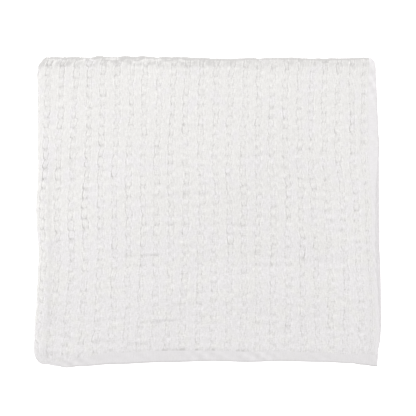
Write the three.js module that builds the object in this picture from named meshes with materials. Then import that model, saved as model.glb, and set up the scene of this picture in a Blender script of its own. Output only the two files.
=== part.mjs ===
// A bound quilt with straight rows of running stitches, folded in thirds along its length and then in half
// across its width. Millimetres, +Z up. The half fold is at -X, the bound sides are at +X, the folded edge of
// the top layer is at +Y and its bound hem at -Y. The underside lies flat on z = 0, below the origin.

import * as THREE from 'three';

// The quilt laid out flat, and what the half fold takes from its width
const QUILT_WIDTH = 914;
const QUILT_LENGTH = 1219;
const HALF_FOLD_TAKE_UP = 3;

// The folded stack in plan, between its straightest edges, and the middle of that plan
const STACK_WIDTH = QUILT_WIDTH / 2 - HALF_FOLD_TAKE_UP;
const STACK_DEPTH = QUILT_LENGTH / 3;
const PLAN_X = 0.79;
const PLAN_Y = 1.71;

// The cloth sandwich, and the room that each folded layer takes
const CLOTH = 3.4;
const LAYER_PITCH = 4.2;
const LAYERS = 6;
const STACK_HEIGHT = LAYERS * LAYER_PITCH - (LAYER_PITCH - CLOTH);

// The binding strips, and the seam that parts them from the cloth
const BINDING_WIDTH = 14;
const BINDING_THICKNESS = 3;
const BINDING_EDGE = 1.8;
const BINDING_EDGE_THICKNESS = 1;
const SEAM = 0.6;

// The quilting: rows of stitches along Y, the first of them beside the sewn side, with a pinch in the cloth
// at every stitch, the first of them beside the hem
const FIRST_ROW = 5.9;
const ROW_PITCH = 18.35;
const FIRST_STITCH = 9.3;
const STITCH_PITCH = 13.3;
const CREST = 1.3;
const ROW_DEPTH = 0.6;
const PINCH_DEPTH = 1.5;
const UNEVEN_RELIEF = 0.3;
const RELIEF_FADES_AT = 0.7 * Math.PI;
const ROW_WANDER = 1;
const WANDER_LENGTH = 60;

// How far the lines of stitches across the rows sag towards the hem, at runs of cloth from the sewn side, and
// how far from the ends of the top layer that sag is full
const LINE_SAG = [
  { along: 6, out: 10.1 },
  { along: 61, out: 6.7 },
  { along: 98, out: 4 },
  { along: 116, out: 2.1 },
  { along: 153, out: 0.3 },
  { along: 208, out: -1.2 },
  { along: 226, out: -0.3 },
  { along: 281, out: 1.1 },
  { along: 336, out: 2.9 },
  { along: 373, out: 4.8 },
  { along: 428, out: 3.5 },
];
const SAG_REACH = 40;

// How far the rows have slid along the cloth at runs from the sewn side: at the back of the top layer and,
// fanning out, at its front, with the runs of cloth from the hem where each is full
const SLIDE_BACK_AT = 361;
const SLIDE_FRONT_AT = 25;
const SLIDE_BACK = [
  { along: 0, out: 0 },
  { along: 24, out: -3.5 },
  { along: 67, out: -4 },
  { along: 107, out: -8.5 },
  { along: 152, out: -10 },
  { along: 212, out: -9.5 },
  { along: 252, out: -7 },
  { along: 420, out: -6.5 },
  { along: 465, out: -6 },
  { along: 892, out: 0 },
];
const SLIDE_FRONT = [
  { along: 0, out: 0 },
  { along: 22, out: -8 },
  { along: 42, out: -7.5 },
  { along: 77, out: -5.3 },
  { along: 112, out: -6 },
  { along: 152, out: -2 },
  { along: 222, out: -0.5 },
  { along: 262, out: 3 },
  { along: 332, out: 1.5 },
  { along: 402, out: 3.5 },
  { along: 465, out: 3.5 },
  { along: 892, out: 0 },
];

// How far each hidden edge of the stack lies inside the edge above it
const FRONT_FOLD_SETBACK = 5;
const INNER_HEM_SETBACK = 6;

// How far the outermost cloth is drawn in at each corner where it goes round the half fold, and the power of
// the turn's sine that this follows
const CORNER_DRAW = 11;
const CORNER_SHARPNESS = 3;

// How far each edge drifts out from its straight line, at places along it
const LEFT_EDGE = [
  { along: -185, out: 5.8 },
  { along: -150, out: 4 },
  { along: -115, out: 1.2 },
  { along: -65, out: -1 },
  { along: 0, out: 2.4 },
  { along: 45, out: 0 },
  { along: 120, out: -0.5 },
  { along: 185, out: 1.2 },
];
const RIGHT_EDGE = [
  { along: -205, out: -2 },
  { along: -186, out: -1.2 },
  { along: -165, out: 1.2 },
  { along: -140, out: 1.2 },
  { along: -120, out: -0.7 },
  { along: -80, out: -2.7 },
  { along: -54, out: -4 },
  { along: 26, out: -4 },
  { along: 60, out: -1 },
  { along: 80, out: 0.6 },
  { along: 117, out: -1.4 },
  { along: 149, out: -2.7 },
  { along: 197, out: -5.1 },
];
const FRONT_EDGE = [
  { along: -222, out: 1 },
  { along: -212, out: 2.8 },
  { along: -190, out: 6.2 },
  { along: -165, out: 4.8 },
  { along: -120, out: 1.8 },
  { along: -60, out: -0.6 },
  { along: 10, out: -2.3 },
  { along: 55, out: -1 },
  { along: 95, out: -2.3 },
  { along: 150, out: -1 },
  { along: 190, out: 0.4 },
  { along: 225, out: 5 },
];
const BACK_EDGE = [
  { along: -190, out: 0.8 },
  { along: -80, out: 0.2 },
  { along: 15, out: -1.8 },
  { along: 60, out: -0.4 },
  { along: 150, out: -1.8 },
  { along: 215, out: -1 },
];

// How fast that drift dies away into the stack, as a power of the share of the way to the far edge
const EDGE_FADE = 3;
const RIGHT_EDGE_FADE = 30;

// How far the layers under the top one slip out past it on the right, at places along that edge, and the
// shares of the stack's height where that slip is full and where it has gone
const SLIP_FULL_AT = 0.35;
const SLIP_GONE_AT = 0.95;
const LOWER_LAYERS = [
  { along: -205, out: -1.5 },
  { along: -186, out: 0.4 },
  { along: -165, out: 3.2 },
  { along: -140, out: 3.2 },
  { along: -120, out: 4.9 },
  { along: -80, out: 6.4 },
  { along: -20, out: 5.8 },
  { along: 26, out: 5.3 },
  { along: 60, out: 2.2 },
  { along: 80, out: 0.5 },
  { along: 117, out: -0.5 },
  { along: 197, out: -0.3 },
];

// How much of the top layer's bindings shows from above, at places along them, where they roll under
const SIDE_SHOWN = [
  { along: -190, out: 4.5 },
  { along: -150, out: 4.6 },
  { along: -100, out: 5 },
  { along: -60, out: 6 },
  { along: -20, out: 7.5 },
  { along: 26, out: 8.5 },
  { along: 60, out: 13 },
  { along: 110, out: BINDING_WIDTH },
];
const HEM_SHOWN = [
  { along: -225, out: 4 },
  { along: -205, out: 5 },
  { along: -184, out: 10.5 },
  { along: -131, out: 15.5 },
  { along: -51, out: 16 },
  { along: 9, out: 14.7 },
  { along: 109, out: 13.4 },
  { along: 176, out: 12 },
  { along: 208, out: 15 },
  { along: 224, out: 16.5 },
];

// The lie of the top surface, as lifts: its crown, the roll of the half fold with the trough beside it and
// how strong both are along the fold, the roll of the back fold, and a soft valley and ridge across
// the layers
const CROWN = 3;
const LEFT_ROLL = { at: 11, reach: 9, lift: 1.8 };
const LEFT_TROUGH = { at: 26, reach: 9, lift: -1.2 };
const LEFT_ROLL_ALONG = [
  { along: -190, out: 0.8 },
  { along: -130, out: 1 },
  { along: -90, out: 0.7 },
  { along: -60, out: 1 },
  { along: 0, out: 1 },
  { along: 80, out: 0.4 },
];
const BACK_ROLL = { at: 14, reach: 12, lift: 1.2 };
const VALLEY = { at: 133, reach: 30, lift: -1.2 };
const RIDGE = { at: 88, reach: 32, lift: 0.8 };
const VALLEY_ACROSS = [
  { along: -150, out: 0 },
  { along: -90, out: 1 },
  { along: 190, out: 1 },
  { along: 225, out: 0.5 },
];

// How far the edges of the layers droop, at places along them, and how far in that reaches
const RIGHT_DROOP = [
  { along: -205, out: -2.5 },
  { along: -150, out: -5 },
  { along: -60, out: -5 },
  { along: 40, out: -3 },
  { along: 190, out: -2 },
];
const RIGHT_DROOP_REACH = 24;
const FRONT_DROOP = [
  { along: -215, out: -6 },
  { along: -150, out: -3.5 },
  { along: -100, out: -2 },
  { along: 90, out: -2.2 },
  { along: 150, out: -2.8 },
  { along: 185, out: -2.4 },
  { along: 225, out: -1.2 },
];
const FRONT_DROOP_REACH = 22;
const BACK_DROOP = -1.6;
const BACK_DROOP_REACH = 13;

// Steps of the mesh: round the half fold, round the turns between thirds, along the plain stretches across
// the width and along the depth, along the strips that show, and where the sewn side droops
const FOLD_STEPS = 8;
const TURN_STEPS = 6;
const WIDTH_STEPS = 4;
const DEPTH_STEPS = 12;
const STRIP_STEPS = 20;
const DROOP_STEPS = 2;

const LEFT = -STACK_WIDTH / 2;
const RIGHT = STACK_WIDTH / 2;
const FRONT = -STACK_DEPTH / 2;
const BACK = STACK_DEPTH / 2;
const MIDDLE_HEIGHT = STACK_HEIGHT / 2;
const HALF_FOLD_X = LEFT + MIDDLE_HEIGHT;
const SIDE_SEAM_X = RIGHT - BINDING_WIDTH;
const HEM_SEAM_Y = FRONT + BINDING_WIDTH;
const BODY_RIGHT = SIDE_SEAM_X - SEAM;
const FOLD_START = BODY_RIGHT - HALF_FOLD_X;
const FOLD_END = FOLD_START + Math.PI * MIDDLE_HEIGHT;

// Heights of the three thirds above the heart of the half fold
const TOP_THIRD = 2.5 * LAYER_PITCH;
const MIDDLE_THIRD = 1.5 * LAYER_PITCH;
const INNER_THIRD = 0.5 * LAYER_PITCH;
const TURN_RADIUS = LAYER_PITCH / 2;
const BACK_TURN_Y = BACK - TURN_RADIUS - CLOTH / 2;
const FRONT_TURN_Y = FRONT + FRONT_FOLD_SETBACK + TURN_RADIUS + CLOTH / 2;
const INNER_HEM_Y = BACK - INNER_HEM_SETBACK;
const BODY_FRONT = HEM_SEAM_Y + SEAM;
const BODY_INNER_END = INNER_HEM_Y - BINDING_WIDTH - SEAM;

function spaced(from, to, steps) {
  return Array.from({ length: steps + 1 }, (_, step) => from + ((to - from) * step) / steps);
}

// A soft curve through a table of places along an edge
function drift(table, along) {
  const next = table.findIndex((row) => row.along > along);
  if (next === 0) {
    return table[0].out;
  }
  if (next < 0) {
    return table[table.length - 1].out;
  }
  const before = table[next - 1];
  const share = THREE.MathUtils.smoothstep(along, before.along, table[next].along);
  return THREE.MathUtils.lerp(before.out, table[next].out, share);
}

// A soft fall from 1 to nothing at a reach
function fading(away, reach) {
  return Math.cos((Math.min(Math.abs(away) / reach, 1) * Math.PI) / 2) ** 2;
}

// The lift of a soft ridge or trough at a distance from an edge
function swell(form, from_edge) {
  return form.lift * fading(from_edge - form.at, form.reach);
}

// Where a point of the straight, level stack lies once its edges have drifted and its layers have settled
function settled(x, y, z) {
  const right_share = THREE.MathUtils.clamp((x - LEFT) / STACK_WIDTH, 0, 1);
  const back_share = THREE.MathUtils.clamp((y - FRONT) / STACK_DEPTH, 0, 1);
  const height_share = z / STACK_HEIGHT;
  const slip_share = 1 - THREE.MathUtils.smoothstep(height_share, SLIP_FULL_AT, SLIP_GONE_AT);
  const right_out = drift(RIGHT_EDGE, y) + drift(LOWER_LAYERS, y) * slip_share;
  const left_out = drift(LEFT_EDGE, y);
  const back_out = drift(BACK_EDGE, x);
  const front_out = drift(FRONT_EDGE, x);
  const crown = CROWN * Math.sin(Math.PI * right_share) * Math.sin(Math.PI * back_share);
  const left_roll = swell(LEFT_ROLL, x - LEFT) + swell(LEFT_TROUGH, x - LEFT);
  const rolls = left_roll * drift(LEFT_ROLL_ALONG, y) + swell(BACK_ROLL, BACK - y);
  const waves = (swell(VALLEY, y - FRONT) + swell(RIDGE, y - FRONT)) * drift(VALLEY_ACROSS, x);
  const right_droop = drift(RIGHT_DROOP, y) * fading(RIGHT - x, RIGHT_DROOP_REACH);
  const front_droop = drift(FRONT_DROOP, x) * fading(y - FRONT, FRONT_DROOP_REACH);
  const back_droop = BACK_DROOP * fading(BACK - y, BACK_DROOP_REACH);
  const lie = crown + waves + right_droop + front_droop + back_droop;
  const top_face = THREE.MathUtils.smoothstep(z, STACK_HEIGHT - CLOTH, STACK_HEIGHT);
  return new THREE.Vector3(
    PLAN_X + x + right_out * right_share ** RIGHT_EDGE_FADE - left_out * (1 - right_share) ** EDGE_FADE,
    PLAN_Y + y + back_out * back_share ** EDGE_FADE - front_out * (1 - back_share) ** EDGE_FADE,
    z + lie * height_share + rolls * top_face,
  );
}

// A place across the width at a run of cloth from the right of the upper half, round the half fold, to the
// right of the lower half. Its turn is the angle gone round the fold.
function placeAt(run) {
  if (run <= FOLD_START) {
    return { x: BODY_RIGHT - run, turn: 0, run };
  }
  if (run >= FOLD_END) {
    return { x: HALF_FOLD_X + run - FOLD_END, turn: Math.PI, run };
  }
  return { x: HALF_FOLD_X, turn: (run - FOLD_START) / MIDDLE_HEIGHT, run };
}

const LOWER_RUNS = spaced(FOLD_END, FOLD_END + FOLD_START, WIDTH_STEPS);

// Evenly spaced places across the width, with more of them where the sewn side droops
function acrossWidth(upper_steps) {
  const droop = spaced(0, RIGHT_DROOP_REACH, DROOP_STEPS).slice(0, -1);
  const upper = spaced(RIGHT_DROOP_REACH, FOLD_START, upper_steps).slice(0, -1);
  const fold = spaced(FOLD_START, FOLD_END, FOLD_STEPS).slice(0, -1);
  return [...droop, ...upper, ...fold, ...LOWER_RUNS].map(placeAt);
}

// Places across the width on every stitch row and every crest between two, and between those in the fold
function acrossRows() {
  const runs = [0];
  let run = FIRST_ROW;
  while (run < FOLD_END) {
    runs.push(run);
    run += run + ROW_PITCH / 2 < FOLD_START ? ROW_PITCH / 2 : ROW_PITCH / 4;
  }
  return [...runs, ...LOWER_RUNS].map(placeAt);
}

// A place along a line with a binding at its near end, once the binding shows at another width than its own:
// the binding is squeezed or spread, and the cloth up to the far end takes up the difference
function shifted(along, edge, far, shown) {
  const seam = edge + BINDING_WIDTH * Math.sign(far - edge);
  const shown_seam = edge + shown * Math.sign(far - edge);
  if (Math.abs(along - edge) < BINDING_WIDTH) {
    return THREE.MathUtils.mapLinear(along, edge, seam, edge, shown_seam);
  }
  return THREE.MathUtils.mapLinear(along, seam, far, shown_seam, far);
}

// A point at a place across the width, at y along the depth and at a height above the heart of the half fold
function folded(place, y, height) {
  const draw = CORNER_DRAW * (height / TOP_THIRD) * Math.sin(place.turn) ** CORNER_SHARPNESS;
  const z = MIDDLE_HEIGHT + height * Math.cos(place.turn);
  const on_top = height > (TOP_THIRD + MIDDLE_THIRD) / 2 ? (1 + Math.cos(place.turn)) / 2 : 0;
  const side_shown = THREE.MathUtils.lerp(BINDING_WIDTH, drift(SIDE_SHOWN, y), on_top);
  const hem_shown = THREE.MathUtils.lerp(BINDING_WIDTH, drift(HEM_SHOWN, place.x), on_top);
  const x = shifted(place.x, RIGHT, HALF_FOLD_X, side_shown) - height * Math.sin(place.turn);
  const shown_y = y < BACK_TURN_Y ? shifted(y, FRONT, BACK_TURN_Y, hem_shown) : y;
  return settled(x, shown_y * (1 - draw / BACK), z);
}

// Places along the depth of the top third: evenly spaced, or on every line of stitches and between two
const STRIP_LINES = spaced(BODY_FRONT, BACK_TURN_Y, STRIP_STEPS).slice(0, -1);
const FIRST_STITCH_Y = BODY_FRONT + FIRST_STITCH;
const STITCH_COUNT = Math.floor((BACK_TURN_Y - FIRST_STITCH_Y) / STITCH_PITCH);
const LAST_STITCH_Y = FIRST_STITCH_Y + STITCH_COUNT * STITCH_PITCH;
const STITCH_LINES = [
  BODY_FRONT,
  ...spaced(FIRST_STITCH_Y - STITCH_PITCH / 2, LAST_STITCH_Y, 2 * STITCH_COUNT + 1),
];
const FIRST_PINCH_LINE = 2;

// Stations along the back-and-forth section, from the outer hem to the inner one. Each has its place on the
// middle of the cloth, the direction of the outer face there, and the run of cloth so far.
function backAndForth(top_lines) {
  const stations = top_lines.map((y) => ({ y, height: TOP_THIRD, face_y: 0, face_up: 1 }));
  for (const angle of spaced(0, Math.PI, TURN_STEPS)) {
    stations.push({
      y: BACK_TURN_Y + TURN_RADIUS * Math.sin(angle),
      height: (TOP_THIRD + MIDDLE_THIRD) / 2 + TURN_RADIUS * Math.cos(angle),
      face_y: Math.sin(angle),
      face_up: Math.cos(angle),
    });
  }
  for (const y of spaced(BACK_TURN_Y, FRONT_TURN_Y, DEPTH_STEPS).slice(1, -1)) {
    stations.push({ y, height: MIDDLE_THIRD, face_y: 0, face_up: -1 });
  }
  for (const angle of spaced(0, Math.PI, TURN_STEPS)) {
    stations.push({
      y: FRONT_TURN_Y - TURN_RADIUS * Math.sin(angle),
      height: (MIDDLE_THIRD + INNER_THIRD) / 2 + TURN_RADIUS * Math.cos(angle),
      face_y: Math.sin(angle),
      face_up: -Math.cos(angle),
    });
  }
  for (const y of spaced(FRONT_TURN_Y, BODY_INNER_END, DEPTH_STEPS).slice(1)) {
    stations.push({ y, height: INNER_THIRD, face_y: 0, face_up: 1 });
  }
  let run = 0;
  stations.forEach((station, index) => {
    const before = stations[Math.max(index - 1, 0)];
    run += Math.hypot(station.y - before.y, station.height - before.height);
    station.run = run;
  });
  return stations;
}

// A point off the middle of the cloth, along the direction of its outer face
function offCloth(place, station, out) {
  return folded(place, station.y + station.face_y * out, station.height + station.face_up * out);
}

// Triangles between two rows of points, each with its runs, stepping along whichever row lags
function zipped(first, second) {
  const faces = [];
  let a = 0;
  let b = 0;
  while (a < first.ids.length - 1 || b < second.ids.length - 1) {
    const step_first = b === second.ids.length - 1
      || (a < first.ids.length - 1 && first.runs[a + 1] <= second.runs[b + 1]);
    if (step_first) {
      faces.push([first.ids[a], first.ids[a + 1], second.ids[b]]);
      a += 1;
    } else {
      faces.push([first.ids[a], second.ids[b + 1], second.ids[b]]);
      b += 1;
    }
  }
  return faces;
}

// A closed mesh with its faces pointing out
function closedGeometry(points, faces) {
  let volume = 0;
  for (const [a, b, c] of faces) {
    volume += points[a].dot(points[b].clone().cross(points[c]));
  }
  const outward = volume < 0 ? faces.map(([a, b, c]) => [a, c, b]) : faces;
  const geometry = new THREE.BufferGeometry().setFromPoints(points);
  geometry.setIndex(outward.flat());
  geometry.computeVertexNormals();
  return geometry;
}

// A steady but uneven number from -1 to 1 for a column and a line of the fine grid
function uneven(column, line) {
  return 2 * THREE.MathUtils.seededRandom(1 + column + 1000 * line) - 1;
}

// How far the outer face stands out at a run of cloth across the width and a line of the fine grid: down
// along the stitch rows, most of all at the pinches on every second line, and up between the rows
function quilting(run, column, line) {
  const on_row = Math.cos((Math.PI * (run - FIRST_ROW)) / ROW_PITCH) ** 2;
  const row_depth = (line - FIRST_PINCH_LINE) % 2 === 0 ? PINCH_DEPTH : ROW_DEPTH;
  const strength = 1 + UNEVEN_RELIEF * uneven(column, line);
  return strength * THREE.MathUtils.lerp(CREST, -row_depth, on_row);
}

// A point of the outer face at the sewn side edge of the top third, straight between the steps of the binding
function onSewnSide(place, y) {
  const step = (BACK_TURN_Y - BODY_FRONT) / STRIP_STEPS;
  const before = BODY_FRONT + step * Math.min(Math.floor((y - BODY_FRONT) / step), STRIP_STEPS - 1);
  const start = folded(place, before, TOP_THIRD + CLOTH / 2);
  const end = folded(place, before + step, TOP_THIRD + CLOTH / 2);
  return start.lerp(end, (y - before) / step);
}

// Where the rows have slid to across the width, at a run of cloth across it and a run along from the hem
function slidPlace(run, along) {
  const to_front = THREE.MathUtils.inverseLerp(SLIDE_BACK_AT, SLIDE_FRONT_AT, along);
  const front_share = THREE.MathUtils.clamp(to_front, 0, 1);
  return placeAt(run + THREE.MathUtils.lerp(drift(SLIDE_BACK, run), drift(SLIDE_FRONT, run), front_share));
}

// How far a line of stitches sags at a run of cloth across the width and at y along the depth
function lineSag(run, y) {
  const from_ends = Math.min(y - BODY_FRONT, BACK_TURN_Y - y);
  return drift(LINE_SAG, run) * THREE.MathUtils.smoothstep(from_ends, 0, SAG_REACH);
}

// The quilted sheet: its outer face is a fine grid where the stitch rows show, and its other faces are plain
function quiltBody() {
  const stitch_steps = STITCH_LINES.length;
  const fine_across = acrossRows();
  const hem_across = acrossWidth(STRIP_STEPS);
  const plain_across = acrossWidth(WIDTH_STEPS);
  const fine_section = backAndForth(STITCH_LINES);
  const plain_section = backAndForth(STRIP_LINES);

  const points = [];
  const addRow = (across, pointAt) => {
    const ids = across.map((place, column) => {
      points.push(pointAt(place, column));
      return points.length - 1;
    });
    return { ids, runs: across.map((place) => place.run) };
  };

  const quiltedPoint = (place, column, station, line) => {
    const on_side = column === 0 || column === fine_across.length - 1;
    if (on_side && line < stitch_steps) {
      return onSewnSide(place, station.y);
    }
    if (on_side) {
      return offCloth(place, station, CLOTH / 2);
    }
    const sewn_run = fine_across[column].run;
    const on_show = line <= stitch_steps + TURN_STEPS / 2;
    const fade = 1 - THREE.MathUtils.smoothstep(place.turn, RELIEF_FADES_AT, Math.PI);
    const relief = on_show ? fade * quilting(sewn_run, column, line) : 0;
    const wander = Math.sin(station.y / WANDER_LENGTH + Math.PI * uneven(column, 0));
    const moved_place = place.turn === 0 ? { ...place, x: place.x + ROW_WANDER * wander } : place;
    const moved_station = { ...station, y: station.y - lineSag(sewn_run, station.y) };
    return offCloth(moved_place, moved_station, CLOTH / 2 + relief);
  };

  const outer_rows = fine_section.map((station, line) => {
    const plainPoint = (place) => offCloth(place, station, CLOTH / 2);
    if (line === 0) {
      return addRow(hem_across, plainPoint);
    }
    if (line > stitch_steps + TURN_STEPS) {
      return addRow(plain_across, plainPoint);
    }
    const slid_across = fine_across.map((place) => slidPlace(place.run, station.run));
    return addRow(slid_across, (place, column) => quiltedPoint(place, column, station, line));
  });
  const inner_rows = plain_section.map((station, line) => addRow(
    line === 0 ? hem_across : plain_across,
    (place) => offCloth(place, station, -CLOTH / 2),
  ));

  const faces = [];
  const around = [...outer_rows, ...inner_rows.toReversed()];
  around.forEach((row, index) => {
    faces.push(...zipped(row, around[(index + 1) % around.length]));
  });
  const edgeOf = (rows, section, end) => ({
    ids: rows.map((row) => row.ids.at(end)),
    runs: section.map((station) => station.run),
  });
  faces.push(...zipped(edgeOf(outer_rows, fine_section, 0), edgeOf(inner_rows, plain_section, 0)));
  faces.push(...zipped(edgeOf(inner_rows, plain_section, -1), edgeOf(outer_rows, fine_section, -1)));
  return closedGeometry(points, faces);
}

// The section of a binding strip, from its seam at 0 to its folded edge at the binding's width
function bindingSection() {
  const half = BINDING_THICKNESS / 2;
  const edge_half = BINDING_EDGE_THICKNESS / 2;
  return [
    { in_width: 0, out: -half },
    { in_width: 0, out: half },
    { in_width: BINDING_WIDTH - BINDING_EDGE, out: half },
    { in_width: BINDING_WIDTH, out: edge_half },
    { in_width: BINDING_WIDTH, out: -edge_half },
    { in_width: BINDING_WIDTH - BINDING_EDGE, out: -half },
  ];
}

// A strip swept through rings of the binding's section
function bindingStrip(rings) {
  const sides = rings[0].length;
  const last = (rings.length - 1) * sides;
  const faces = [];
  for (let ring = 0; ring < rings.length - 1; ring += 1) {
    for (let side = 0; side < sides; side += 1) {
      const a = ring * sides + side;
      const b = ring * sides + ((side + 1) % sides);
      faces.push([a, b, a + sides], [b, b + sides, a + sides]);
    }
  }
  for (let side = 1; side < sides - 1; side += 1) {
    faces.push([0, side + 1, side], [last, last + side, last + side + 1]);
  }
  return closedGeometry(rings.flat(), faces);
}

// A binding over one end of the quilt: it runs across the whole width, round the half fold, with the corners
function hemBinding(seam_y, direction, height, upper_steps) {
  const corner = bindingSection().slice(1, 4).map((point) => SIDE_SEAM_X + point.in_width);
  const across = [
    ...corner.toReversed().map((x) => ({ x, turn: 0 })),
    ...acrossWidth(upper_steps),
    ...corner.map((x) => ({ x, turn: Math.PI })),
  ];
  return bindingStrip(across.map((place) => bindingSection().map(
    (point) => folded(place, seam_y + direction * point.in_width, height + point.out),
  )));
}

// A binding over one long side: it follows the back-and-forth section, on the upper or the lower half
function sideBinding(turn) {
  return bindingStrip(backAndForth(STRIP_LINES).map((station) => bindingSection().map(
    (point) => offCloth({ x: SIDE_SEAM_X + point.in_width, turn }, station, point.out),
  )));
}

const COTTON_WHITE = '#ebe9e7';
const BINDING_WHITE = '#ecebea';

function clothMesh(name, geometry, color) {
  const material = new THREE.MeshStandardMaterial({ color, roughness: 0.92, metalness: 0 });
  const mesh = new THREE.Mesh(geometry, material);
  mesh.name = name;
  return mesh;
}

const quilt = new THREE.Group();
quilt.add(clothMesh('quilt_body', quiltBody(), COTTON_WHITE));
const outer_hem = hemBinding(HEM_SEAM_Y, -1, TOP_THIRD, STRIP_STEPS);
quilt.add(clothMesh('hem_binding_outer', outer_hem, BINDING_WHITE));
const inner_hem = hemBinding(INNER_HEM_Y - BINDING_WIDTH, 1, INNER_THIRD, WIDTH_STEPS);
quilt.add(clothMesh('hem_binding_inner', inner_hem, BINDING_WHITE));
quilt.add(clothMesh('side_binding_upper', sideBinding(0), BINDING_WHITE));
quilt.add(clothMesh('side_binding_lower', sideBinding(Math.PI), BINDING_WHITE));

export default quilt;
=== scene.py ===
import math

import bpy
import numpy as np
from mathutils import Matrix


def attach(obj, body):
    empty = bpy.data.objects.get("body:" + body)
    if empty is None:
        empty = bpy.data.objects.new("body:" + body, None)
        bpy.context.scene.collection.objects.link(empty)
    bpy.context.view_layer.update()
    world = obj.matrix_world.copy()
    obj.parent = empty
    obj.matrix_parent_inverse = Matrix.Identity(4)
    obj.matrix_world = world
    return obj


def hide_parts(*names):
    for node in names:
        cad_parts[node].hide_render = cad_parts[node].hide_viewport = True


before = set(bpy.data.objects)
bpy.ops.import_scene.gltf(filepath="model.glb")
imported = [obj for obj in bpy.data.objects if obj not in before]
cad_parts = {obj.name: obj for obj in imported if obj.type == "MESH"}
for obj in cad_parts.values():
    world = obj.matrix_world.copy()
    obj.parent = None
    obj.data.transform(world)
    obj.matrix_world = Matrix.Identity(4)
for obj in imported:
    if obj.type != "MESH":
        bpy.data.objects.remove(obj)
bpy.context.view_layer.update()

# The quilted cloth
# Two layers of washed white cotton over a thin cotton filling, sewn through with straight rows of running
# stitches whose thread draws the cloth into puckers. The sheet is folded back and forth in thirds along its
# length and then in half across its width, so that the half fold lies on the left.

# Sizes in millimetres
MM = 0.001
QUILT_WIDTH = 914
QUILT_LENGTH = 1219
TAKEN_BY_HALF_FOLD = 3
CLOTH = 3.4
LAYERS = 6
LAYER_PITCH = 4.2
BINDING_WIDTH = 14
FIRST_ROW = 9.1
ROW_PITCH = 18.35
FIRST_STITCH = 9.9
STITCH_PITCH = 13.3
FRONT_TURN_IN = 5
INNER_HEM_IN = 6

# The straight, level stack, with the middle of its plan at the origin, and where its folds and seams lie
STACK_WIDTH = QUILT_WIDTH / 2 - TAKEN_BY_HALF_FOLD
STACK_DEPTH = QUILT_LENGTH / 3
STACK_HEIGHT = LAYERS * LAYER_PITCH - (LAYER_PITCH - CLOTH)
LEFT = -STACK_WIDTH / 2
RIGHT = STACK_WIDTH / 2
FRONT = -STACK_DEPTH / 2
BACK = STACK_DEPTH / 2
MIDDLE_HEIGHT = STACK_HEIGHT / 2
HALF_FOLD_X = LEFT + MIDDLE_HEIGHT
SIDE_SEAM_X = RIGHT - BINDING_WIDTH
HEM_SEAM_Y = FRONT + BINDING_WIDTH
FOLD_START = SIDE_SEAM_X - HALF_FOLD_X
FOLD_END = FOLD_START + math.pi * MIDDLE_HEIGHT
FULL_RUN = FOLD_END + FOLD_START
TOP_THIRD = 2.5 * LAYER_PITCH
MIDDLE_THIRD = 1.5 * LAYER_PITCH
INNER_THIRD = 0.5 * LAYER_PITCH
TURN_RADIUS = LAYER_PITCH / 2
BACK_TURN_HEIGHT = (TOP_THIRD + MIDDLE_THIRD) / 2
FRONT_TURN_HEIGHT = (MIDDLE_THIRD + INNER_THIRD) / 2
BACK_TURN_Y = BACK - TURN_RADIUS - CLOTH / 2
FRONT_TURN_Y = FRONT + FRONT_TURN_IN + TURN_RADIUS + CLOTH / 2
INNER_SEAM_Y = BACK - INNER_HEM_IN - BINDING_WIDTH

# How far each edge drifts out at places along it, how quickly that fades inwards, and the shift that brings
# the drifted stack back over the origin
LEFT_EDGE = [
    (-185, 5.8), (-150, 4), (-115, 1.4), (-88, 0.8), (-62, -0.8), (0, 2.4), (45, 0.2), (120, 0.4),
    (178, 0.9), (190, 0), (201, -2.6),
]
RIGHT_EDGE = [
    (-205, -2), (-186, -1.2), (-165, 1.2), (-140, 1.2), (-120, -0.7), (-80, -2.7), (-54, -4), (26, -4),
    (60, -1), (80, 0.6), (117, -1.4), (149, -2.7), (190, -4.4), (199, -5.4), (204, -8),
]
FRONT_EDGE = [
    (-222, 1), (-212, 2.3), (-198, 4.6), (-184, 6.8), (-165, 4.8), (-120, 1.8), (-60, -0.6), (10, -2.3),
    (55, -1), (95, -2.3), (150, -1), (190, 0.6), (204, 2.6), (225, 5),
]
BACK_EDGE = [
    (-190, -0.5), (-133, 0.2), (-80, 0), (-30, -1), (15, -2.7), (60, -1.4), (90, -1.1), (150, -2.5),
    (185, -2), (204, -0.9), (222, -0.7), (227, -3.2),
]
EDGE_FADE = 3
RIGHT_EDGE_FADE = 30
PLAN_X = 0.79
PLAN_Y = 1.71

# How far the layers under the top one slip out past it on the right, and the shares of the stack's height
# where that slip is full and where it has gone
LOWER_LAYERS = [
    (-205, -1.5), (-186, 0.6), (-165, 4), (-140, 4.2), (-120, 5.8), (-80, 7.2), (-20, 7.1), (26, 6.4),
    (60, 3.2), (80, 0.6), (117, -0.5), (197, -0.3),
]
SLIP_FULL_AT = 0.35
SLIP_GONE_AT = 0.95

# How much of the top layer's bindings shows from above, where they roll under
SIDE_SHOWN = [
    (-190, 4.5), (-150, 4.6), (-100, 5), (-60, 6), (-20, 7.5), (26, 8.5), (60, 13), (110, BINDING_WIDTH),
    (165, 13.6), (200, 11),
]
HEM_SHOWN = [
    (-225, 1.6), (-205, 2.6), (-184, 9.5), (-131, 15.5), (-51, 16), (9, 14.7), (109, 13.4), (176, 12),
    (208, 15), (224, 16.5),
]

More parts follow.
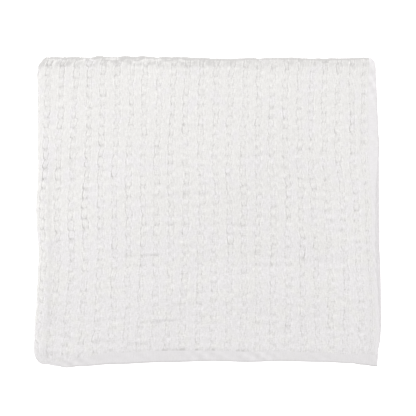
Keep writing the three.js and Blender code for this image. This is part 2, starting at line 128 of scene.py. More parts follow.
# The lie of the layers: the crown of the stack, then soft swells across or along it, each a height, how far
# in from its edge it lies and its reach, with the strength of some at places along them
CROWN = 3
LEFT_ROLL = (2.4, 14, 8)
LEFT_TROUGH = (-2.0, 23.5, 8)
LEFT_ROLL_ALONG = [(-190, 0.8), (-130, 1), (-90, 0.7), (-60, 1), (0, 1), (80, 0.4)]
BACK_ROLL = (1.2, 14, 12)
BACK_DROOP = (-1.6, 0, 13)
VALLEY = (-1.2, 133, 30)
RIDGE = (0.8, 88, 32)
VALLEY_ACROSS = [(-150, 0), (-90, 1), (190, 1), (225, 0.5)]
RIGHT_DROOP = [(-205, -2.5), (-150, -4), (-60, -4), (40, -2.4), (190, -1.6)]
RIGHT_DROOP_REACH = 24
FRONT_DROOP = [(-215, -6), (-150, -3.5), (-100, -2), (90, -2.2), (150, -2.8), (185, -2.4), (225, -1.2)]
FRONT_DROOP_REACH = 22

# How far the corners of the half fold are drawn in, and how quickly that fades round the fold
CORNER_DRAW = 11
CORNER_FADE = 3


def smoothstep(value, low, high):
    share = np.clip((value - low) / (high - low), 0, 1)
    return share * share * (3 - 2 * share)


def drift(table, along):
    """A soft curve through a table of places along an edge."""
    places, outs = np.array(table, float).T
    at = np.clip(np.searchsorted(places, along, side="right") - 1, 0, len(places) - 2)
    return outs[at] + (outs[at + 1] - outs[at]) * smoothstep(along, places[at], places[at + 1])


def fading(away, reach):
    """A soft fall from 1 to nothing at a reach."""
    return np.cos(np.minimum(np.abs(away) / reach, 1) * math.pi / 2) ** 2


def bell(away, reach):
    """A soft peak of 1 that dies away past a reach."""
    return np.exp(-((away / reach) ** 2))


def swell(lie, inward):
    """A soft rise or fall of the cloth at distances in from an edge."""
    height, middle, reach = lie
    return height * fading(inward - middle, reach)


def settled(x, y, z):
    """Where points of the straight, level stack lie once its edges have drifted and its layers settled."""
    right_share = np.clip((x - LEFT) / STACK_WIDTH, 0, 1)
    back_share = np.clip((y - FRONT) / STACK_DEPTH, 0, 1)
    left_share = 1 - right_share
    front_share = 1 - back_share
    height_share = z / STACK_HEIGHT
    slip_share = 1 - smoothstep(height_share, SLIP_FULL_AT, SLIP_GONE_AT)
    right_out = drift(RIGHT_EDGE, y) + drift(LOWER_LAYERS, y) * slip_share
    moved_x = right_out * right_share**RIGHT_EDGE_FADE - drift(LEFT_EDGE, y) * left_share**EDGE_FADE
    moved_y = drift(BACK_EDGE, x) * back_share**EDGE_FADE - drift(FRONT_EDGE, x) * front_share**EDGE_FADE
    crown = CROWN * np.sin(math.pi * right_share) * np.sin(math.pi * back_share)
    left_roll = swell(LEFT_ROLL, x - LEFT) + swell(LEFT_TROUGH, x - LEFT)
    rolls = left_roll * drift(LEFT_ROLL_ALONG, y) + swell(BACK_ROLL, BACK - y)
    waves = (swell(VALLEY, y - FRONT) + swell(RIDGE, y - FRONT)) * drift(VALLEY_ACROSS, x)
    right_droop = drift(RIGHT_DROOP, y) * fading(RIGHT - x, RIGHT_DROOP_REACH)
    front_droop = drift(FRONT_DROOP, x) * fading(y - FRONT, FRONT_DROOP_REACH)
    lie = crown + waves + right_droop + front_droop + swell(BACK_DROOP, BACK - y)
    moved_z = lie * height_share + rolls * smoothstep(z, STACK_HEIGHT - CLOTH, STACK_HEIGHT)
    return np.stack([PLAN_X + x + moved_x, PLAN_Y + y + moved_y, z + moved_z], axis=-1)


def shifted(along, edge, far, shown):
    """Places along a line whose binding, at its near end, shows at another width than its own."""
    way = math.copysign(1, far - edge)
    length = abs(far - edge)
    from_edge = (along - edge) * way
    beyond = shown + (from_edge - BINDING_WIDTH) * (length - shown) / (length - BINDING_WIDTH)
    return edge + way * np.where(from_edge < BINDING_WIDTH, from_edge * shown / BINDING_WIDTH, beyond)


def folded(x, turn, y, height):
    """Points at places across the width, along the depth and at heights above the heart of the half fold."""
    x, turn, y, height = np.broadcast_arrays(*(np.asarray(value, float) for value in (x, turn, y, height)))
    draw = CORNER_DRAW * (height / TOP_THIRD) * np.sin(turn) ** CORNER_FADE
    on_top = np.where(height > BACK_TURN_HEIGHT, (1 + np.cos(turn)) / 2, 0)
    side_shown = BINDING_WIDTH + (drift(SIDE_SHOWN, y) - BINDING_WIDTH) * on_top
    hem_shown = BINDING_WIDTH + (drift(HEM_SHOWN, x) - BINDING_WIDTH) * on_top
    shown_y = np.where(y < BACK_TURN_Y, shifted(y, FRONT, BACK_TURN_Y, hem_shown), y)
    shown_x = shifted(x, RIGHT, HALF_FOLD_X, side_shown) - height * np.sin(turn)
    return settled(shown_x, shown_y * (1 - draw / BACK), MIDDLE_HEIGHT + height * np.cos(turn))


def across(run):
    """Place and turn across the width at runs of cloth from the upper half's right to the lower half's."""
    turn = np.clip((run - FOLD_START) / MIDDLE_HEIGHT, 0, math.pi)
    return HALF_FOLD_X + np.maximum(FOLD_START - run, 0) + np.maximum(run - FOLD_END, 0), turn


# The columns of a table of stations along the folded thirds, and the parts that a station is in
Y, HEIGHT, FACE_Y, FACE_UP, RUN, PART = range(6)
TOP_PART, BACK_TURN_PART, MIDDLE_PART, FRONT_TURN_PART, INNER_PART = range(5)


def back_and_forth(top_steps, turn_steps, hidden_steps):
    """Stations along the thirds: y, height, the outer face's direction, the run of cloth, and the part."""
    angles = np.linspace(0, math.pi, turn_steps + 1)
    out = np.sin(angles)
    up = np.cos(angles)
    top = np.linspace(HEM_SEAM_Y, BACK_TURN_Y, top_steps + 1)[:-1]
    middle = np.linspace(BACK_TURN_Y, FRONT_TURN_Y, hidden_steps + 1)[1:-1]
    inner = np.linspace(FRONT_TURN_Y, INNER_SEAM_Y, hidden_steps + 1)[1:]
    parts = {
        TOP_PART: (top, TOP_THIRD, 0, 1),
        BACK_TURN_PART: (BACK_TURN_Y + TURN_RADIUS * out, BACK_TURN_HEIGHT + TURN_RADIUS * up, out, up),
        MIDDLE_PART: (middle, MIDDLE_THIRD, 0, -1),
        FRONT_TURN_PART: (FRONT_TURN_Y - TURN_RADIUS * out, FRONT_TURN_HEIGHT + TURN_RADIUS * up, out, -up),
        INNER_PART: (inner, INNER_THIRD, 0, 1),
    }
    stations = np.concatenate([
        np.stack(np.broadcast_arrays(*columns, part), axis=-1) for part, columns in parts.items()
    ])
    steps = np.hypot(np.diff(stations[:, Y]), np.diff(stations[:, HEIGHT]))
    run = np.concatenate([[0], np.cumsum(steps)])
    *places, part = stations.T
    return np.column_stack([*places, run, part])


def off_cloth(x, turn, stations, out):
    """Points off the middle of the cloth, along the direction of its outer face."""
    y, height, face_y, face_up = (stations[:, [column]] for column in (Y, HEIGHT, FACE_Y, FACE_UP))
    return folded(x, turn, y + face_y * out, height + face_up * out)


# The stitching: each row wanders in waves of a size and a length, and each stitch has its own place, pull,
# width and slant. The stitches of all rows lie on common lines across the cloth, which sag by so much at
# each row and spread from a place along it.
rng = np.random.default_rng(20)
ROWS = 52
STITCHES = 40
each_stitch = (ROWS, STITCHES)
row_numbers = np.arange(-1, ROWS - 1)
STITCHES_UNDER_HEM = 2
WANDER = [(1.0, 290), (0.7, 130), (0.5, 66), (0.35, 33)]
LINE_SAG = [
    (0, 10.1), (3, 6.7), (5, 4.8), (6, 3.3), (8, 1.2), (11, -0.8), (12, 0.5), (15, 2.4), (18, 4), (20, 4.3),
    (23, 1),
]
LINE_SPREAD = [(0, 0.979), (4, 0.981), (8, 0.986), (12, 0.995), (16, 1.005), (19, 1.008), (22, 0.99)]
SPREAD_FROM = 190
PLACE_JITTER = 0.12
wander_phase = rng.uniform(0, 2 * math.pi, (ROWS, len(WANDER)))
stitch_jitter = rng.uniform(-PLACE_JITTER, PLACE_JITTER, each_stitch)
stitch_place = FIRST_STITCH + (np.arange(STITCHES) - STITCHES_UNDER_HEM + stitch_jitter) * STITCH_PITCH
stitch_place -= drift(LINE_SAG, row_numbers)[:, None]
stitch_place = SPREAD_FROM + (stitch_place - SPREAD_FROM) * drift(LINE_SPREAD, row_numbers)[:, None]

# How hard the rows are drawn in, which falls to a share at the front, and how far their stitches lean
ROW_STRENGTH = [(0, 1.05), (4, 0.97), (14, 0.97), (18, 1.1), (21, 1.3), (23, 1.4), (24, 0.7)]
FRONT_SHARE = 0.6
FRONT_SHARE_ALONG = 20
FULL_SHARE_ALONG = 240
ROW_SLANT = [(0, 0), (17, 0), (20, 0.7), (24, 1.2), (27, 0)]
MOST_SLANT = 1.3
from_front = smoothstep(stitch_place, FRONT_SHARE_ALONG, FULL_SHARE_ALONG)
row_strength = drift(ROW_STRENGTH, row_numbers)[:, None] * (FRONT_SHARE + (1 - FRONT_SHARE) * from_front)
stitch_pull = rng.uniform(0.5, 1.3, each_stitch)
stitch_width = rng.uniform(0.78, 1.2, each_stitch)
stitch_slant = rng.uniform(-MOST_SLANT, MOST_SLANT, each_stitch) - drift(ROW_SLANT, row_numbers)[:, None]

# How hard each stitch draws in its crease and its dot, on its right and its left, and how dark their painted
# shade is
RIGHT_SIDE, LEFT_SIDE = range(2)
# The left ones are drawn deeper and get darker painted shade, as the shade falls on that side
SIDE_STRENGTH = np.array([0.6, 0.92])[:, None, None]
PULL_SPREAD = 0.45


def uneven_pull(middle, least, most):
    """A pull for each side of each stitch: most are near the middle one, and a few are far harder."""
    drawn = rng.lognormal(middle, PULL_SPREAD, (2, *each_stitch))
    return np.clip(drawn, least, most) * SIDE_STRENGTH * row_strength


crease_pull = uneven_pull(-0.1, 0.2, 1.8)
dot_pull = uneven_pull(-0.28, 0.15, 1.7)

# Stretches that are drawn in hard: the row, its side, the stretch along it and how much harder
HARD_DRAWN = [
    (5, RIGHT_SIDE, 116, 162, 2.6), (23, LEFT_SIDE, 212, 270, 1.9), (20, LEFT_SIDE, 190, 290, 1.4),
    (22, LEFT_SIDE, 148, 190, 1.8),
]
for row_number, side, start, end, harder in HARD_DRAWN:
    row = row_number - row_numbers[0]
    drawn_hard = np.where((stitch_place[row] > start) & (stitch_place[row] < end), harder, 1)
    crease_pull[side, row] *= drawn_hard
    dot_pull[side, row] *= drawn_hard


def row_wander(row, along):
    return sum(
        size * np.sin(2 * math.pi * along / length + wander_phase[row, number])
        for number, (size, length) in enumerate(WANDER)
    )


# The puckers: each stitch raises a rounded bead, which is as long as a share of the stitch and has a crease
# round it. Beyond the crease the cloth rises again, most of all between two rows. It is dragged in at the
# pinches between stitches, with a dot on each side of them.
BEAD_HALF_WIDTH = 3.3
BEAD_HALF_SHARE = 0.49
BEAD_RISE = 0.3
CREASE_DEPTH = 0.45
CREASE_REACH = 0.6
BESIDE_RISE = 0.15
BETWEEN_ROWS_RISE = 0.1
DRAG_DEPTH, DRAG_ALONG, DRAG_ASIDE = 0.3, 1.3, 3
PINCH_DEPTH, PINCH_ASIDE, PINCH_ALONG = 0.15, 2.6, 1.4
DOT_DEPTH, DOT_OUT, DOT_ASIDE, DOT_ALONG = 0.45, 2.6, 1.1, 1.4

# Near the back fold the dots and creases are stronger. A crease's painted shade is strongest at the bead's
# sides and towards its front end, and a painted shadow trails slanting away from each pinch.
NEAR_FOLD = (366, 380)
NEAR_FOLD_GAIN = 0.7
CREASE_LOSS, CREASE_LOSS_ALONG = 0.45, (0.25, 0.85)
CREASE_ACROSS, CREASE_BESIDE = 0.22, 0.83
TRAIL_OUT, TRAIL_SLOPE, TRAIL_HALF_WIDTH = 1.6, 5, 1.2
TRAIL_SWING_OUT, TRAIL_SWING_SLOPE = 0.6, 2
TRAIL_END = (0.2, 0.45)
TRAIL_SHADE = 0.5


def beside_row(run, along, row):
    """At runs across and along: how far the cloth stands out beside a row of stitches, and its creases.

    The creases are kept as the way to the nearest one, the turn of the stitches, the strength of the
    crease's painted shade and how dark the painted shadow of its slanting trail is.
    """
    aside = run - FIRST_ROW - row_numbers[row] * ROW_PITCH
    side = np.where(aside > 0, LEFT_SIDE, RIGHT_SIDE)
    phase = np.interp(along, stitch_place[row], np.arange(STITCHES))
    number = np.clip(np.floor(phase).astype(int), 0, STITCHES - 2)
    share = phase - number
    from_pinch = np.minimum(share, 1 - share) * STITCH_PITCH
    pull = stitch_pull[row][number] * (1 - share) + stitch_pull[row][number + 1] * share
    at_fold = 1 + NEAR_FOLD_GAIN * smoothstep(along, *NEAR_FOLD)

    half_width = BEAD_HALF_WIDTH * stitch_width[row][number]
    leaning = aside - stitch_slant[row][number] * (2 * share - 1)
    reach = ((np.abs(leaning) / half_width) ** 3 + (np.abs(share - 0.5) / BEAD_HALF_SHARE) ** 3) ** (1 / 3)
    drawn = crease_pull[side, row, number] * (1 - share) + crease_pull[side, row, number + 1] * share
    depth = CREASE_DEPTH * drawn
    bead = -depth + (BEAD_RISE + depth) * np.sqrt(np.maximum(1 - reach**4, 0))
    beyond = np.maximum(reach - 1, 0) * half_width
    rise = 1 - np.exp(-beyond / CREASE_REACH)
    between = BETWEEN_ROWS_RISE * (1 - np.cos(2 * math.pi * aside / ROW_PITCH))
    beside = -depth + (depth + BESIDE_RISE) * rise + between
    drag = -DRAG_DEPTH * pull * bell(from_pinch, DRAG_ALONG) * np.exp(-beyond / DRAG_ASIDE) * rise
    pinch = -PINCH_DEPTH * pull * bell(aside, PINCH_ASIDE) * bell(from_pinch, PINCH_ALONG)
    dot = -DOT_DEPTH * dot_pull[side, row, np.rint(phase).astype(int)] * at_fold
    dots = dot * bell(np.abs(aside) - DOT_OUT, DOT_ASIDE) * bell(from_pinch, DOT_ALONG)
    relief = np.where(reach < 1, bead, beside + drag) + pinch + dots

    strength = crease_pull[side, row, number] * (1 - CREASE_LOSS * smoothstep(share, *CREASE_LOSS_ALONG))
    out_share = np.minimum(np.abs(leaning) / half_width, 1)
    strength = strength * (CREASE_ACROSS + CREASE_BESIDE * out_share**2) * at_fold
    below = 1 - share
    swing = stitch_slant[row][number + 1]
    trail_at = TRAIL_OUT + TRAIL_SWING_OUT * swing - (TRAIL_SLOPE - TRAIL_SWING_SLOPE * swing) * below
    trail = bell(aside - trail_at, TRAIL_HALF_WIDTH) * (1 - smoothstep(below, *TRAIL_END))
    trail = TRAIL_SHADE * dot_pull[LEFT_SIDE, row, number + 1] * trail * at_fold
    return relief, np.stack([(reach - 1) * half_width, np.sin(math.pi * phase), strength, trail], axis=-1)


# Small soft unevenness of the washed cloth: waves in every direction, each as high as a share of its length
CRINKLES = 60
SHORTEST_CRINKLE = 4.5
LONGEST_CRINKLE = 22
CRINKLE_STEEPNESS = 0.003
crinkle_way = rng.uniform(0, 2 * math.pi, CRINKLES)
crinkle_length = np.exp(rng.uniform(math.log(SHORTEST_CRINKLE), math.log(LONGEST_CRINKLE), CRINKLES))
crinkle_phase = rng.uniform(0, 2 * math.pi, CRINKLES)


def crinkle(run, along):
    total = 0
    for way, length, phase in zip(crinkle_way, crinkle_length, crinkle_phase):
        place = run * math.cos(way) + along * math.sin(way)
        total = total + CRINKLE_STEEPNESS * length * np.sin(2 * math.pi * place / length + phase)
    return total


# Short wrinkles that the folding has left: the run and the place along of their middles, half their length,
# how far they climb for each millimetre of run, their depth and their half width. Each has a soft lip behind
# it.
WRINKLES = [
    (292, 127, 26, 0, 1.3, 1.6), (278, 39, 46, -0.05, 1.3, 1.7), (232, 47, 30, 0.08, 0.7, 2),
    (300, 10, 24, 0.06, 1.1, 2), (352, 16, 30, 0.12, 0.8, 2.2), (395, 30, 18, 0.5, 0.9, 2),
    (412, 12, 16, 0.25, 1, 2), (402, 52, 12, 0.9, 0.7, 2), (120, 96, 26, -0.04, 0.5, 2),
    (180, 168, 22, 0.05, 0.4, 2),
]
LIP_SHARE = 0.6
LIP_BEHIND = 2
LIP_REACH = math.sqrt(1.5)


def wrinkle(run, along):
    total = 0
    for middle, place, half_length, climb, depth, half_width in WRINKLES:
        off = (along - place - climb * (run - middle)) / half_width
        trough = bell(off, 1) - LIP_SHARE * bell(off - LIP_BEHIND, LIP_REACH)
        total = total - depth * trough * fading(run - middle, half_length)
    return total


# How far the rows have slid across the cloth at runs from the right, at a place near the back and, fanning
# out, at one near the front. They wander less and lie flatter beside the side seam, and meet half way.
SLIDE_BACK = [
    (0, 0), (24, -3.5), (67, -4), (107, -8.5), (152, -10), (212, -9.5), (252, -7), (420, -6.5), (465, -6),
    (892, 0),
]
SLIDE_FRONT = [
    (0, 0), (22, -8), (42, -7.5), (77, -5.3), (112, -6), (152, -2), (222, -0.5), (262, 3), (332, 1.5),
    (402, 3.5), (465, 3.5), (892, 0),
]
SLIDE_BACK_ALONG = 361
SLIDE_FRONT_ALONG = 25
FURTHEST_SLIDE = 1.1
SEAM_STEADY = 14
SEAM_FLAT = 2.5
ROWS_MEET = (0.35, 0.65)


def quilting(run, along):
    """At runs of cloth: how far the outer face stands out, the run that it has moved to, and its creases."""
    place = (run - FIRST_ROW) / ROW_PITCH
    relief = np.zeros(np.broadcast_shapes(run.shape, along.shape))
    moved = np.zeros_like(relief)
    creases = np.zeros((*relief.shape, 4))
    for row, row_number in enumerate(row_numbers):
        weight = np.clip(1 - np.abs(place - row_number), 0, 1)
        if not weight.any():
            continue
        stands, lines = beside_row(run, along, row)
        relief += smoothstep(weight, *ROWS_MEET) * stands
        creases = np.where((weight >= 0.5)[..., None], lines, creases)
        moved += weight * row_wander(row, along)
    from_back = (SLIDE_BACK_ALONG - along) / (SLIDE_BACK_ALONG - SLIDE_FRONT_ALONG)
    front_share = np.clip(from_back, 0, FURTHEST_SLIDE)
    slide = drift(SLIDE_BACK, run) * (1 - front_share) + drift(SLIDE_FRONT, run) * front_share
    moved = moved * smoothstep(run, 0, SEAM_STEADY) + slide
    relief = relief + crinkle(run, along) + wrinkle(run, along)
    return relief * smoothstep(run, 0, SEAM_FLAT), run + moved, creases


# Columns across the width, which stand close together beside each row of stitches where the quilting shows
BESIDE_ROW = [0, 1.3, 2.4, 3.3, 4, 4.7, 5.6, 7.2]
BESIDE_HIDDEN_ROW = [0, 2.6, 5]
SEAM_COLUMNS = [0, 1.6]
FROM_SEAM = 2
COLUMN_MARGIN = 0.5
PLAIN_SEAM_COLUMNS = [0, 12]
PLAIN_FROM = 24


def row_columns(start, end, beside):
    """Runs across the width from start to end, close together beside every row of stitches."""
    offsets = np.array(sorted({*beside, *(-away for away in beside), ROW_PITCH / 2}))
    rows = FIRST_ROW + np.arange(-1, ROWS)[:, None] * ROW_PITCH
    runs = (rows + offsets).ravel()
    return runs[(runs > start + COLUMN_MARGIN) & (runs < end - COLUMN_MARGIN)]


lower_plain = np.linspace(FOLD_END, FULL_RUN, 9)
lower_rows = row_columns(FOLD_END, FULL_RUN, BESIDE_HIDDEN_ROW)
fine_upper = np.concatenate([SEAM_COLUMNS, row_columns(FROM_SEAM, FOLD_END, BESIDE_ROW)])
coarse_upper = row_columns(FROM_SEAM, FOLD_END, BESIDE_HIDDEN_ROW)
fine_columns = np.concatenate([fine_upper, lower_plain])
turn_columns = np.concatenate([fine_upper, [FOLD_END], lower_rows, [FULL_RUN]])
front_columns = np.concatenate([[0], coarse_upper, [FOLD_END], lower_rows, [FULL_RUN]])
plain_columns = np.concatenate([
    PLAIN_SEAM_COLUMNS, np.linspace(PLAIN_FROM, FOLD_START, 12)[:-1],
    np.linspace(FOLD_START, FOLD_END, 13)[:-1], lower_plain,
])
hem_columns = quilting(fine_columns, np.zeros_like(fine_columns))[1]

outer_section = back_and_forth(top_steps=204, turn_steps=10, hidden_steps=16)
inner_section = back_and_forth(top_steps=24, turn_steps=8, hidden_steps=16)

cloth_points = []
cloth_places = []
cloth_painted_shade = []
cloth_creases = []
NO_CREASE = (9, 1, 0)


def add_row(points, run, along, painted_shade, creases):
    """One row of points across the cloth, kept with their runs, their painted shade and their creases."""
    first = sum(len(row) for row in cloth_points)
    cloth_points.append(points)
    cloth_places.append(np.column_stack([run, np.full(len(run), along), np.zeros(len(run))]))
    cloth_painted_shade.append(np.broadcast_to(painted_shade, len(run)))
    cloth_creases.append(np.broadcast_to(creases, (len(run), 3)))
    return np.arange(first, first + len(run)), run


# The back edge: painted shadows of the puckers in a band before the fold and over it, with painted shade
# over the fold, rougher on the left, and lumps that stand out of it
MARK_ALONG = 2.2
MARK_ACROSS = 3.6
MEAN_MARK = 0.7
EDGE_BAND = [(0, 1.1), (120, 1.3), (230, 1.4), (300, 1.4), (360, 1.7), (430, 1.6)]
EDGE_BAND_START, EDGE_BAND_FULL = 13, 5
BAND_SHADE, BAND_MARKS = 0.05, 0.95
FOLD_SHADE, FOLD_MARKS = 1.6, 2.5
FOLD_SHADED_FROM = (0, 0.3)
FOLD_RIM_LIGHTER, FOLD_RIM_FROM = 0.5, (0.55, 0.9)
EDGE_ROUGH = [(0, 0.45), (60, 0.3), (200, 0.4), (270, 1), (430, 1)]
LUMP_PITCH = 9
LUMPS_FROM = (0, 0.7)
edge_dark = rng.uniform(-0.6, 2.0, (8, 200))

# The hem's seam: a broken line of painted shade where the puckers end against the binding
SEAM_MARK = 3.6
SEAM_STRENGTH = [(0, 0.7), (60, 0.4), (140, 0.7), (190, 1.6), (280, 1.7), (330, 0.6), (430, 0.3)]
SEAM_LINE_END = (1, 4)
seam_dark = np.clip(rng.normal(0.3, 0.7, 260), 0, 1.6)
fold_lumps = rng.normal(0, 0.65, 110)


def edge_shadows(run, before_edge):
    """How dark the painted shadows of the puckers are at runs across, so far before the folded back edge or
    over it.
    """
    at = np.clip(before_edge / MARK_ALONG, 0, len(edge_dark) - 1.01)
    line = edge_dark[int(at)] * (1 - at % 1) + edge_dark[int(at) + 1] * (at % 1)
    dark = np.interp(run / MARK_ACROSS % (len(line) - 1), np.arange(len(line)), line)
    return MEAN_MARK + (dark - MEAN_MARK) * drift(EDGE_ROUGH, run)


def edge_band(run, y, face_y):
    """How much painted shade the cloth has at runs across, before the folded back edge and over it."""
    marks = edge_shadows(run, BACK_TURN_Y - y)
    band = drift(EDGE_BAND, run) * smoothstep(y, BACK_TURN_Y - EDGE_BAND_START, BACK_TURN_Y - EDGE_BAND_FULL)
    before_fold = band * (BAND_SHADE + BAND_MARKS * marks)
    over_fold = FOLD_SHADE + FOLD_MARKS * np.maximum(marks, 0)
    over_fold = over_fold * (1 - FOLD_RIM_LIGHTER * smoothstep(face_y, *FOLD_RIM_FROM))
    return before_fold + (over_fold - before_fold) * smoothstep(face_y, *FOLD_SHADED_FROM)


def fold_lump(run):
    """How far the puckers stand out of the folded back edge at runs across."""
    return np.interp(run / LUMP_PITCH, np.arange(len(fold_lumps)), fold_lumps) * drift(EDGE_ROUGH, run)


def seam_line(run):
    return np.interp(run / SEAM_MARK, np.arange(len(seam_dark)), seam_dark) * drift(SEAM_STRENGTH, run)


# Broad painted shade across the middle of the top layer's width and painted light towards its sides,
# strongest half way along it
BROAD_PAINTED_SHADE = [(0, -0.1), (40, -0.05), (90, 0.1), (165, 0.18), (240, 0.1), (330, -0.02), (430, -0.15)]
BROAD_SHADE_MIDDLE = 190
BROAD_SHADE_REACH = 200
BROAD_SHADE_LEAST = 0.3

# The quilting is pressed flat on the floor, beside the hem's seam and under the back turn. A hollow of one
# depth gets the full painted shade, and none goes through the cloth.
FLOOR_TURN = (0.7 * math.pi, 0.97 * math.pi)
HEM_FLAT = 5
UNDER_TURN = (-0.9, -0.3)
SHADED_DEPTH = 1.6
DEEPEST = -2.4
FULL_COLUMNS_BEFORE_TURN = 9
FRONT_TURN_RELIEF = 0.6


def plain_row(station, runs, moved, out):
    """A row with no relief, at runs that have moved, off the middle of the cloth."""
    x, turn = across(moved)
    return add_row(off_cloth(x, turn, station[None], out)[0], runs, station[RUN], 0, NO_CREASE)


def outer_row(station):
    """A row of the outer face: quilted where it shows, plain where it is folded inside."""
    y, _, face_y, face_up, along, part = station
    if part > BACK_TURN_PART:
        return plain_row(station, plain_columns, plain_columns, CLOTH / 2)
    turning = part == BACK_TURN_PART
    columns = turn_columns if turning or y > BACK_TURN_Y - FULL_COLUMNS_BEFORE_TURN else fine_columns
    relief, moved, creases = quilting(columns, np.full_like(columns, along))
    x, turn = across(moved)
    on_floor = smoothstep(turn, *FLOOR_TURN) * (1 - abs(face_y))
    over_turn = smoothstep(face_up, *UNDER_TURN) if turning else 1
    shown = (1 - on_floor) * smoothstep(along, 0, HEM_FLAT) * over_turn
    relief = np.maximum(relief, DEEPEST) * shown
    lumps = fold_lump(columns) * smoothstep(face_y, *LUMPS_FROM) * shown
    points = off_cloth(x, turn, station[None], CLOTH / 2 + relief + lumps)[0]
    half_way = BROAD_SHADE_LEAST + (1 - BROAD_SHADE_LEAST) * fading(along - BROAD_SHADE_MIDDLE, BROAD_SHADE_REACH)
    # Painted shade in the hollows, over the back edge, along the hem's seam and in the crease trails, with
    # broad painted shade and light across the top layer
    painted_shade = np.clip(-relief / SHADED_DEPTH, 0, 1) + edge_band(columns, y, face_y)
    painted_shade += seam_line(columns) * (1 - smoothstep(along, *SEAM_LINE_END))
    painted_shade += drift(BROAD_PAINTED_SHADE, columns) * half_way
    painted_shade += creases[:, 3] * shown
    creases[:, 2] *= shown
    return add_row(points, columns, along, painted_shade, creases[:, :3])


def inner_row(station):
    """A row of the inner face, quilted only round the fold that shows at the front."""
    along = station[RUN]
    if along == 0:
        return plain_row(station, fine_columns, hem_columns, -CLOTH / 2)
    if station[PART] != FRONT_TURN_PART:
        return plain_row(station, plain_columns, plain_columns, -CLOTH / 2)
    relief, moved, _ = quilting(front_columns, np.full_like(front_columns, along))
    relief = FRONT_TURN_RELIEF * relief * station[FACE_Y]
    x, turn = across(moved)
    points = off_cloth(x, turn, station[None], -CLOTH / 2 - relief)[0]
    return add_row(points, front_columns, along, np.clip(-relief / SHADED_DEPTH, 0, 1), NO_CREASE)


outer_rows = [outer_row(station) for station in outer_section]
inner_rows = [inner_row(station) for station in inner_section]


def zipped(first, second):
    """Faces between two rows of points: quads where their runs agree, else triangles."""
    ids_a, runs_a = first
    ids_b, runs_b = second
    if len(ids_a) == len(ids_b) and np.allclose(runs_a, runs_b):
        return np.column_stack([ids_a[:-1], ids_a[1:], ids_b[1:], ids_b[:-1]]).tolist()
    faces = []
    a = b = 0
    while a < len(ids_a) - 1 or b < len(ids_b) - 1:
        if b == len(ids_b) - 1 or (a < len(ids_a) - 1 and runs_a[a + 1] <= runs_b[b + 1]):
            faces.append([int(ids_a[a]), int(ids_a[a + 1]), int(ids_b[b])])
            a += 1
        else:
            faces.append([int(ids_a[a]), int(ids_b[b + 1]), int(ids_b[b])])
            b += 1
    return faces


def cloth_faces():
    """All faces of the closed sheet: its outer face, its inner face and its four raw edges."""
    around = outer_rows + inner_rows[::-1]
    faces = []
    for row, following in zip(around, around[1:] + around[:1]):
        faces += zipped(row, following)
    for end in (0, -1):
        outer = np.array([row[0][end] for row in outer_rows]), outer_section[:, RUN]
        inner = np.array([row[0][end] for row in inner_rows]), inner_section[:, RUN]
        faces += zipped(outer, inner) if end == 0 else zipped(inner, outer)
    return faces


SHARP_ANGLE = math.radians(55)


def keep_on_points(mesh, name, kind, values):
    """Values for each point of a mesh, for its material to read."""
    field = "vector" if kind == "FLOAT_VECTOR" else "value"
    attribute = mesh.attributes.new(name, kind, "POINT")
    attribute.data.foreach_set(field, np.asarray(values).astype(np.float32).ravel())


def make_piece(name, points, faces, places, painted_shade, creases=None):
    """A smooth closed mesh in metres from points in millimetres, with its faces pointing out."""
    points = np.asarray(points) * MM
    points[:, 2] = np.maximum(points[:, 2], 0)
    corners = np.array([face[:3] for face in faces])
    a, b, c = (points[corners[:, column]] for column in range(3))
    if np.einsum("ij,ij->i", a, np.cross(b, c)).sum() < 0:
        faces = [face[::-1] for face in faces]
    mesh = bpy.data.meshes.new(name)
    mesh.from_pydata(points.tolist(), [], faces)
    mesh.shade_smooth()
    mesh.set_sharp_from_angle(angle=SHARP_ANGLE)
    keep_on_points(mesh, "cloth_place", "FLOAT_VECTOR", np.asarray(places) * MM)
    keep_on_points(mesh, "painted_shade", "FLOAT", painted_shade)
    if creases is not None:
        keep_on_points(mesh, "crease", "FLOAT_VECTOR", creases)
    mesh.validate()
    piece = bpy.data.objects.new(name, mesh)
    bpy.context.scene.collection.objects.link(piece)
    return piece


class Shade:
    """A socket of a material's node tree, so that shader maths reads as arithmetic."""

    def __init__(self, tree, socket=None):
        self.tree = tree
        self.socket = socket

    def node(self, kind, settings=None, values=None, output=0):
        made = self.tree.nodes.new("ShaderNode" + kind)
        for name, value in (settings or {}).items():
            setattr(made, name, value)
        for name, value in (values or {}).items():
            if isinstance(value, Shade):
                self.tree.links.new(value.socket, made.inputs[name])
            else:
                made.inputs[name].default_value = value
        return Shade(self.tree, made.outputs[output] if made.outputs else None)

    def maths(self, operation, *values):
        return self.node("Math", {"operation": operation}, dict(enumerate(values)))

    def __add__(self, other):
        return self.maths("ADD", self, other)

    __radd__ = __add__

    def __sub__(self, other):
        return self.maths("SUBTRACT", self, other)

    def __rsub__(self, other):
        return self.maths("SUBTRACT", other, self)

    def __mul__(self, other):
        return self.maths("MULTIPLY", self, other)

    __rmul__ = __mul__

    def __truediv__(self, other):
        return self.maths("DIVIDE", self, other)

    def __rtruediv__(self, other):
        return self.maths("DIVIDE", other, self)

    def __neg__(self):
        return self.maths("MULTIPLY", self, -1)

    def sine(self):
        return self.maths("SINE", self)

    def bell(self, reach):
        """A soft peak where this socket is nothing, which dies away at the reach."""
        share = self / reach
        return self.maths("EXPONENT", -(share * share))

    def clamped(self):
        return self.node("Clamp", None, {"Value": self})

    def mixed(self, first, second):
        """A colour from first to second, with this socket as the share."""
        return self.node("Mix", {"data_type": "RGBA"}, {0: self, 6: first, 7: second}, 2)

    def part(self, axis):
        return self.node("SeparateXYZ", None, {"Vector": self}, axis)

    def stretched(self, scale):
        return self.node("VectorMath", {"operation": "MULTIPLY"}, {0: self, 1: scale}, "Vector")

    def noise(self, scale, detail):
        """Uneven values at these places, with so many lumps to the metre."""
        return self.node("TexNoise", None, {"Vector": self, "Scale": scale, "Detail": detail}, "Fac")

    def attribute(self, name, output):
        return self.node("Attribute", {"attribute_name": name}, None, output)
